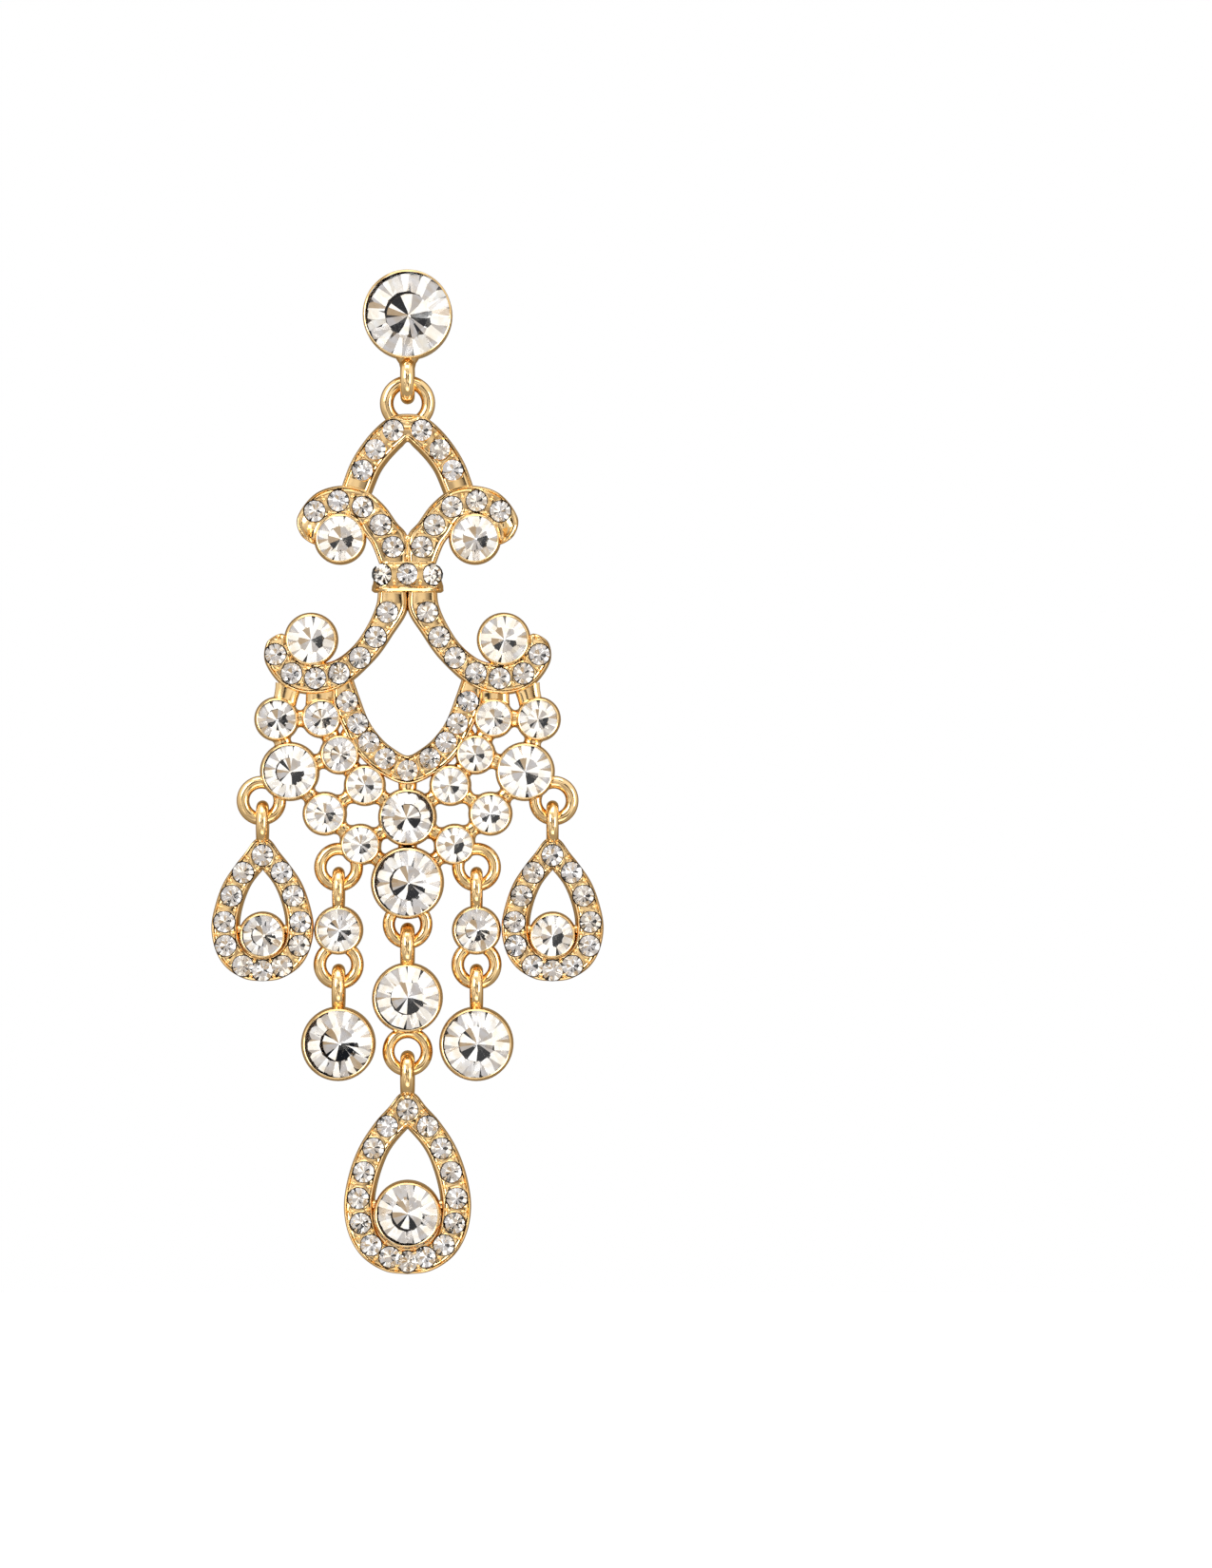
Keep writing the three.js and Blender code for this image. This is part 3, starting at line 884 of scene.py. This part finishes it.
def bead_pattern():
    mesh = bpy.data.meshes.new("bead")
    work = bmesh.new()
    bmesh.ops.create_uvsphere(work, u_segments=10, v_segments=7, radius=MM)
    for f in work.faces:
        f.smooth = True
    work.to_mesh(mesh)
    work.free()
    return bpy.data.objects.new("bead", mesh)


bead = bead_pattern()


def gold_beads(name, beads, sizes):
    """Small balls of metal, as one piece on the hanging drop."""
    cloud = points_object("place", beads, size=sizes, turn=np.zeros((len(beads), 3)))
    grains = scattered(name, cloud, bead, gold, gold)
    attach(grains, DROP)


def paved(name, runs, depth=PAVE_GIRDLE, shift=0.0, lean=0.0):
    """Small stones on every place, and beads in the gaps of each run."""
    places = np.unique(np.vstack(runs).round(3), axis=0) + (shift, 0)
    leans = lean * np.sign(places[:, 0])
    depths = depth - np.abs(np.sin(leans)) * 0.9
    turns = random_turns(len(places), math.radians(3))
    turns[:, 2] += leans
    cloud = points_object("place", np.column_stack([places, depths]),
                          size=[PAVE_RADIUS] * len(places), turn=turns)
    stones = scattered(f"{name}_small_stones", cloud, small_cut, crystal, foil)
    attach(stones, DROP)
    beads, sizes = [], []
    for run in runs:
        more, radii = beads_between(run + (shift, 0), depth)
        beads += more
        sizes += radii
    gold_beads(f"{name}_prong_beads", beads, sizes)
    print(name, len(places), "small stones,", len(beads), "beads")
    return [small_seat(x, h, d, PAVE_RADIUS, a) for (x, h), d, a in zip(places, depths, leans)]


# %% [markdown]
# ## The frame
# The frame comes out of one mould: the fleur, the collar, the lattice of cups and the rings
# that the drops hang on. So it is one casting here too, and its shells overlap where the real
# metal flows together.

# %% The frame
TOP_RING = (0, -7.45, 1.755, 0.575)
SIDE_RING = (12.3, -40.9, 1.55, 0.54)
INNER_RING = (5.8, -46.5, 1.535, 0.535)
CENTRE_RING = (0, -51.3, 1.575, 0.525)
SOLDER_BEADS = [(0, -18.85, 0.6, 0.3), (0, -20.4, 0.55, 0.22)]  # x, height, depth, radius


def frame_shells():
    cups = [n for n in stone_nodes if n.startswith("stone_")]
    shells = [cup(n) for n in cups] + [collar()]
    for stations, slope in ((ARCH, 0.22), (OGEE, 0.0)):
        edges = through(whole(stations))
        shells.append(band(edges[:, :2], edges[:, 2:], lowered=LOW_BAND, slope=slope))
    for side in (-1, 1):
        shells.append(band(*station_edges(CURL, side), round_end=0.9, smooth_from=0.74))
        shells.append(band(*station_edges(ARM, side), round_end=0.7, smooth_from=0.93, slope=0.1))
        shells += [strut((side * a, b), (side * c, d), wide, waist)
                   for a, b, c, d, wide, waist in TIES]
    for x, height, radius, wire in (SIDE_RING, INNER_RING):
        shells += [wire_ring(side * x, height, radius, wire) for side in (-1, 1)]
    shells += [wire_ring(*TOP_RING), wire_ring(*CENTRE_RING)]
    places = [stone_seat(n) for n in cups]
    for i, (a, ra, _) in enumerate(places):
        for b, rb, _ in places[i + 1:]:
            gap = math.dist(a, b) - ra - rb - 2 * (CUP_WALL + SEAT_GAP)
            if gap < STRUT_REACH:
                waist = 0.88 - 0.4 * max(gap, 0)
                shells.append(strut(a, b, 0.9, waist,
                                    trim_start=ra + SEAT_GAP, trim_end=rb + SEAT_GAP))
    return shells


def finish_casting(name, shells, seats, body, nodes):
    piece = casting(name, shells, seats)
    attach(piece, body)
    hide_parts(*nodes)
    piece.data.calc_loop_triangles()
    print(name, len(piece.data.loop_triangles), "triangles")
    return piece


runs = [half for key in PAVE_RUNS for half in both_sides(PAVE_RUNS[key])]
runs[0:2] = [np.vstack([runs[1][::-1], runs[0]])]
seats = paved("frame", runs)
seats += paved("collar", [np.array(COLLAR_STONES)], depth=COLLAR_GIRDLE, lean=COLLAR_LEAN)
seats += [cup_seat(n) for n in stone_nodes if n.startswith("stone_")]
finish_casting("frame_casting", frame_shells(), seats, DROP, ["frame"])
gold_beads("frame_solder_beads", [point[:3] for point in SOLDER_BEADS],
           [point[3] for point in SOLDER_BEADS])

# %% [markdown]
# ## Pear drops, links and round drops
# A pear drop is one closed paved band round an opening, with a cup in its foot. Solder fills
# the gap under the cup and stands as a lug on each side of it. The loop on top hangs on the
# ring above it; its height is read from the frame, as the top of the piece.

# %% Pear outlines: right half of the outer and of the inner edge
SIDE_OUTER = [(0, -43.75), (0.75, -44.3), (1.4, -45.2), (2.2, -46.2), (3.25, -47.75),
              (3.95, -49.6), (4.3, -51.55), (3.95, -53.5), (3.05, -54.95), (1.5, -55.9), (0, -56.1)]
SIDE_INNER = [(0, -46.75), (0.95, -48.0), (1.6, -49.6), (1.9, -51.2), (1.75, -52.7),
              (1.0, -53.6), (0, -53.9)]
CENTRE_OUTER = [(0, -65.2), (0.8, -65.7), (1.5, -66.6), (2.75, -68.0), (4.05, -70.0),
                (4.95, -72.4), (5.35, -75.0), (4.95, -77.4), (3.8, -79.3), (1.9, -80.5),
                (0, -80.75)]
CENTRE_INNER = [(0, -68.55), (1.1, -69.8), (1.85, -71.1), (2.5, -73.1), (2.75, -75.0),
                (2.4, -77.2), (1.3, -78.3), (0, -78.55)]
RIM_STEPS = 70
PEAR_FILLET = 0.4  # mm that the solder under a pear's cup reaches below the cup


def even_edge(half, x):
    """A closed edge from its right half, with its points evenly spaced on both halves."""
    curve = through(half)
    travelled = along(curve)
    wanted = np.linspace(0, travelled[-1], RIM_STEPS)
    right = np.column_stack([np.interp(wanted, travelled, curve[:, k]) for k in (0, 1)])
    left = right[-2:0:-1] * (-1, 1)
    return np.vstack([right, left]) + (x, 0)


FINE_LOOP = (1.45, 0.52)
ROUND_LOOP = (1.55, 0.56)
CENTRE_LOOP = (1.5, 0.6)
LINK_RING = (5.8, -54.7, 1.58, 0.54)
CENTRE_LINK_RING = (0, -62.0, 1.61, 0.51)


def hanging_loop(node, x, loop):
    radius, wire = loop
    return wire_ring(x, node_top(node) - radius - wire, radius, wire, edge_on=True)


def pear(node, outer, inner, x, loop, run):
    rim = band(even_edge(outer, x), even_edge(inner, x), looped=True, slope=0.2)
    (middle, height), radius, _ = stone_seat(f"{node}_stone")
    shells = [rim, cup(f"{node}_stone"), hanging_loop(node, x, loop)]
    shells.append(turned([(0, -0.6), (radius, -0.6), (radius + 0.3, -0.4), (radius + 0.3, 0.3),
                          (radius + 0.15, 0.45), (0, 0.45)], (middle, height - PEAR_FILLET)))
    shells += [strut((middle, height), (middle + side * (radius + 0.9), height + 0.35 * radius),
                     0.5, 0.45) for side in (-1, 1)]
    right = np.asarray(run, float)
    closed = np.vstack([right, right[-2::-1] * (-1, 1)])
    seats = paved(node, [closed], shift=x) + [cup_seat(f"{node}_stone")]
    finish_casting(f"{node}_casting", shells, seats, DROP, [node])


def cup_drop(node, x, loop, below=None):
    shells = [cup(f"{node}_stone"), hanging_loop(node, x, loop)]
    if below:
        shells.append(wire_ring(x, *below[1:]))
    finish_casting(f"{node}_casting", shells, [cup_seat(f"{node}_stone")], DROP, [node])


# %% [markdown]
# ## The hanging parts
# The left and the right drops are the same parts, so one loop makes both sides.

# %% Drops
SIDE_PEAR_X = 12.2
pear("centre_pear", CENTRE_OUTER, CENTRE_INNER, 0, CENTRE_LOOP, CENTRE_PAVE)
cup_drop("centre_link", 0, CENTRE_LOOP, CENTRE_LINK_RING)
for mark, side in (("L", -1), ("R", 1)):
    pear(f"side_pear_{mark}", SIDE_OUTER, SIDE_INNER, side * SIDE_PEAR_X, FINE_LOOP, SIDE_PAVE)
    cup_drop(f"link_{mark}", side * INNER_RING[0], FINE_LOOP, LINK_RING)
    cup_drop(f"round_drop_{mark}", side * LINK_RING[0], ROUND_LOOP)

# %% [markdown]
# ## The stud
# A cup for the large stone, a loop soldered under it, and a plain post behind it.

# %% Stud
STUD_LOOP = (0, -5.5, 1.45, 0.6)
POST_RADIUS = 0.42
POST_END = -HANG_PLANE - 10.6


def post():
    r, start = POST_RADIUS, -HANG_PLANE + 0.3
    profile = [(0, start), (r * 1.6, start), (r * 1.6, -HANG_PLANE - 0.12),
               (r, -HANG_PLANE - 0.3), (r, POST_END + 2.4), (r * 0.8, POST_END + 2.2),
               (r * 0.8, POST_END + 1.8), (r, POST_END + 1.6), (r, POST_END + 0.5),
               (r * 0.75, POST_END + 0.12), (r * 0.4, POST_END), (0, POST_END)]
    return turned(profile, (0, 0), count=24)


def stud_neck():
    rings = []
    for height, half, depth in ((-3.3, 1.15, 1.2), (-3.75, 0.95, 1.0), (-4.1, 0.72, 0.8),
                                (-4.5, 0.62, 0.7)):
        rings.append([(half * c, height, depth * s) for c, s in circle(20)])
    return loft(rings)


finish_casting("stud_casting", [
    cup("stud_stone", back=-HANG_PLANE, flare=0.0), post(), stud_neck(),
    wire_ring(*STUD_LOOP, edge_on=True),
], [cup_seat("stud_stone")], "stud", ["stud_setting"])

# %% [markdown]
# ## Studio
# The backdrop and the table are plain white. Polished metal and mirror-backed stones show what
# stands in front of them, though, and under even light they would look flat. A jewellery
# studio therefore puts white reflectors, grey cards and black flags round the camera, and the
# facets pick them up as bright and dark wedges. Here the part of the surround that lies ahead
# of the earring is such a patchwork, and the rest is plain: bright above, dimmer below.

# %% Table
floor_mesh = bpy.data.meshes.new("floor")
reach, front, depth_below = 6.0, -0.3, -0.45
floor_mesh.from_pydata([(-reach, front, depth_below), (reach, front, depth_below),
                        (reach, reach, depth_below), (-reach, reach, depth_below)],
                       [], [(0, 1, 2, 3)])
floor_material = bpy.data.materials.new("white_table")
floor_material.use_nodes = True
floor_shader = floor_material.node_tree.nodes["Principled BSDF"]
floor_shader.inputs["Base Color"].default_value = linear("#F7F7F6")
floor_shader.inputs["Roughness"].default_value = 0.8
floor_shader.inputs["Emission Color"].default_value = linear("#FFFFFF")
floor_shader.inputs["Emission Strength"].default_value = 0.6
floor_mesh.materials.append(floor_material)
floor = bpy.data.objects.new("floor", floor_mesh)
bpy.context.scene.collection.objects.link(floor)
floor.visible_glossy = False

# %% [markdown]
# ## Surround
# An image of a studio could light the scene, but this patchwork needs none: Voronoi cells with
# a stepped ramp give flat cards of random tone. Only the zone ahead has them; a narrow patch
# round the camera stays near white, so flat metal that faces it is bright.

# %% Surround
ROOM_LIGHT = 1.25
PANEL = 3.9  # panels across the width of the room, about
world = bpy.data.worlds.new("studio")
world.use_nodes = True
bpy.context.scene.world = world
sky = world.node_tree
sky.nodes.clear()
toward = add(sky, "ShaderNodeTexCoord").outputs["Generated"]
split = add(sky, "ShaderNodeSeparateXYZ", inputs={"Vector": toward})
panels = add(sky, "ShaderNodeTexVoronoi", inputs={"Vector": toward, "Scale": PANEL})
pick = add(sky, "ShaderNodeSeparateColor", inputs={"Color": panels.outputs["Color"]})
wall = add(sky, "ShaderNodeValToRGB", inputs={"Fac": pick.outputs["Red"]})
wall.color_ramp.interpolation = "CONSTANT"
wall.color_ramp.elements[0].color = linear("#17191E")
for spot, shade in ((0.23, "#A99479"), (0.29, "#B3AFAE"), (0.47, "#FFFFFF")):
    wall.color_ramp.elements.new(spot).color = linear(shade)
up = add(sky, "ShaderNodeMapRange", {"interpolation_type": "SMOOTHSTEP"}, {
    "Value": split.outputs["Z"], "From Min": -0.8, "From Max": 0.7})
plain = add(sky, "ShaderNodeMix", {"data_type": "RGBA"}, {
    "Factor": up.outputs["Result"], "A": linear("#A9A49C"), "B": linear("#FFFFFF")})
beside = add(sky, "ShaderNodeMapRange", {"interpolation_type": "SMOOTHSTEP"}, {
    "Value": split.outputs["Y"], "From Min": -0.75, "From Max": -0.5})
sides = add(sky, "ShaderNodeMix", {"data_type": "RGBA"}, {
    "Factor": beside.outputs["Result"], "A": wall.outputs["Color"],
    "B": plain.outputs["Result"]})
off = add(sky, "ShaderNodeMapRange", {"interpolation_type": "SMOOTHSTEP"}, {
    "Value": split.outputs["Y"], "From Min": -0.9985, "From Max": -0.994})
ahead = add(sky, "ShaderNodeMix", {"data_type": "RGBA"}, {
    "Factor": off.outputs["Result"], "A": linear("#F3F1ED"), "B": sides.outputs["Result"]})
behind = add(sky, "ShaderNodeMapRange", {"interpolation_type": "SMOOTHSTEP"}, {
    "Value": split.outputs["Y"], "From Min": 0.05, "From Max": 0.7})
all_round = add(sky, "ShaderNodeMix", {"data_type": "RGBA"}, {
    "Factor": behind.outputs["Result"], "A": ahead.outputs["Result"],
    "B": linear("#8E7B5C")})
room = add(sky, "ShaderNodeBackground", inputs={
    "Color": all_round.outputs["Result"], "Strength": ROOM_LIGHT})
white = add(sky, "ShaderNodeBackground", inputs={"Color": linear("#FFFFFF"), "Strength": 1.0})
seen = add(sky, "ShaderNodeLightPath").outputs["Is Camera Ray"]
both = add(sky, "ShaderNodeMixShader", inputs={"Fac": seen})
sky.links.new(room.outputs[0], both.inputs[1])
sky.links.new(white.outputs[0], both.inputs[2])
add(sky, "ShaderNodeOutputWorld", inputs={"Surface": both.outputs[0]})

# %% [markdown]
# ## Lights and cards
# Four soft boxes model the metal, and one of them is a little warm, from below. A few black
# cards nearer to the piece put dark wedges in the stones.

# %% Lights
AIM = Vector((0, 0, -0.04))
CARD_AWAY = 0.45  # m from the point that the lights aim at


def softbox(name, place, size, watts, colour="#FFFFFF"):
    data = bpy.data.lights.new(name, "AREA")
    data.shape = "RECTANGLE"
    data.size, data.size_y = size
    data.energy = watts
    data.color = linear(colour)[:3]
    light = bpy.data.objects.new(name, data)
    light.location = place
    light.rotation_euler = (AIM - Vector(place)).to_track_quat("-Z", "Y").to_euler()
    light.visible_camera = False
    bpy.context.scene.collection.objects.link(light)


def cards(count, near, far, size, colour, seed):
    """Small cards hung round the camera, between two angles off its axis, in degrees."""
    dice = np.random.default_rng(seed)
    material = bpy.data.materials.new("card")
    material.use_nodes = True
    shader = material.node_tree.nodes["Principled BSDF"]
    shader.inputs["Base Color"].default_value = linear(colour)
    shader.inputs["Roughness"].default_value = 1.0
    for k in range(count):
        tilt = math.radians(dice.uniform(near, far))
        turn = 2 * math.pi * (k + dice.uniform(0, 1)) / count
        place = AIM + Vector((math.sin(tilt) * math.cos(turn), -math.cos(tilt),
                              math.sin(tilt) * math.sin(turn))) * CARD_AWAY
        half = size * dice.uniform(0.6, 1.2) / 2
        mesh = bpy.data.meshes.new("card")
        mesh.from_pydata([(-half, -half, 0), (half, -half, 0), (half, half, 0), (-half, half, 0)],
                         [], [(0, 1, 2, 3)])
        mesh.materials.append(material)
        card = bpy.data.objects.new(f"card_{seed}_{k}", mesh)
        card.location = place
        card.rotation_euler = (AIM - place).to_track_quat("Z", "Y").to_euler()
        card.visible_camera = False
        bpy.context.scene.collection.objects.link(card)


cards(4, near=25, far=60, size=0.06, colour="#17171B", seed=3)
softbox("key_left", (-0.45, -0.55, 0.30), (0.35, 0.45), 3.0)
softbox("fill_right", (0.55, -0.45, 0.05), (0.25, 0.5), 2.0)
softbox("top", (0.0, -0.15, 0.60), (0.6, 0.4), 2.0)
softbox("low_warm", (0.1, -0.5, -0.55), (0.5, 0.2), 0.8, "#FFF1DC")

scene = bpy.context.scene
scene.view_settings.view_transform = "Standard"
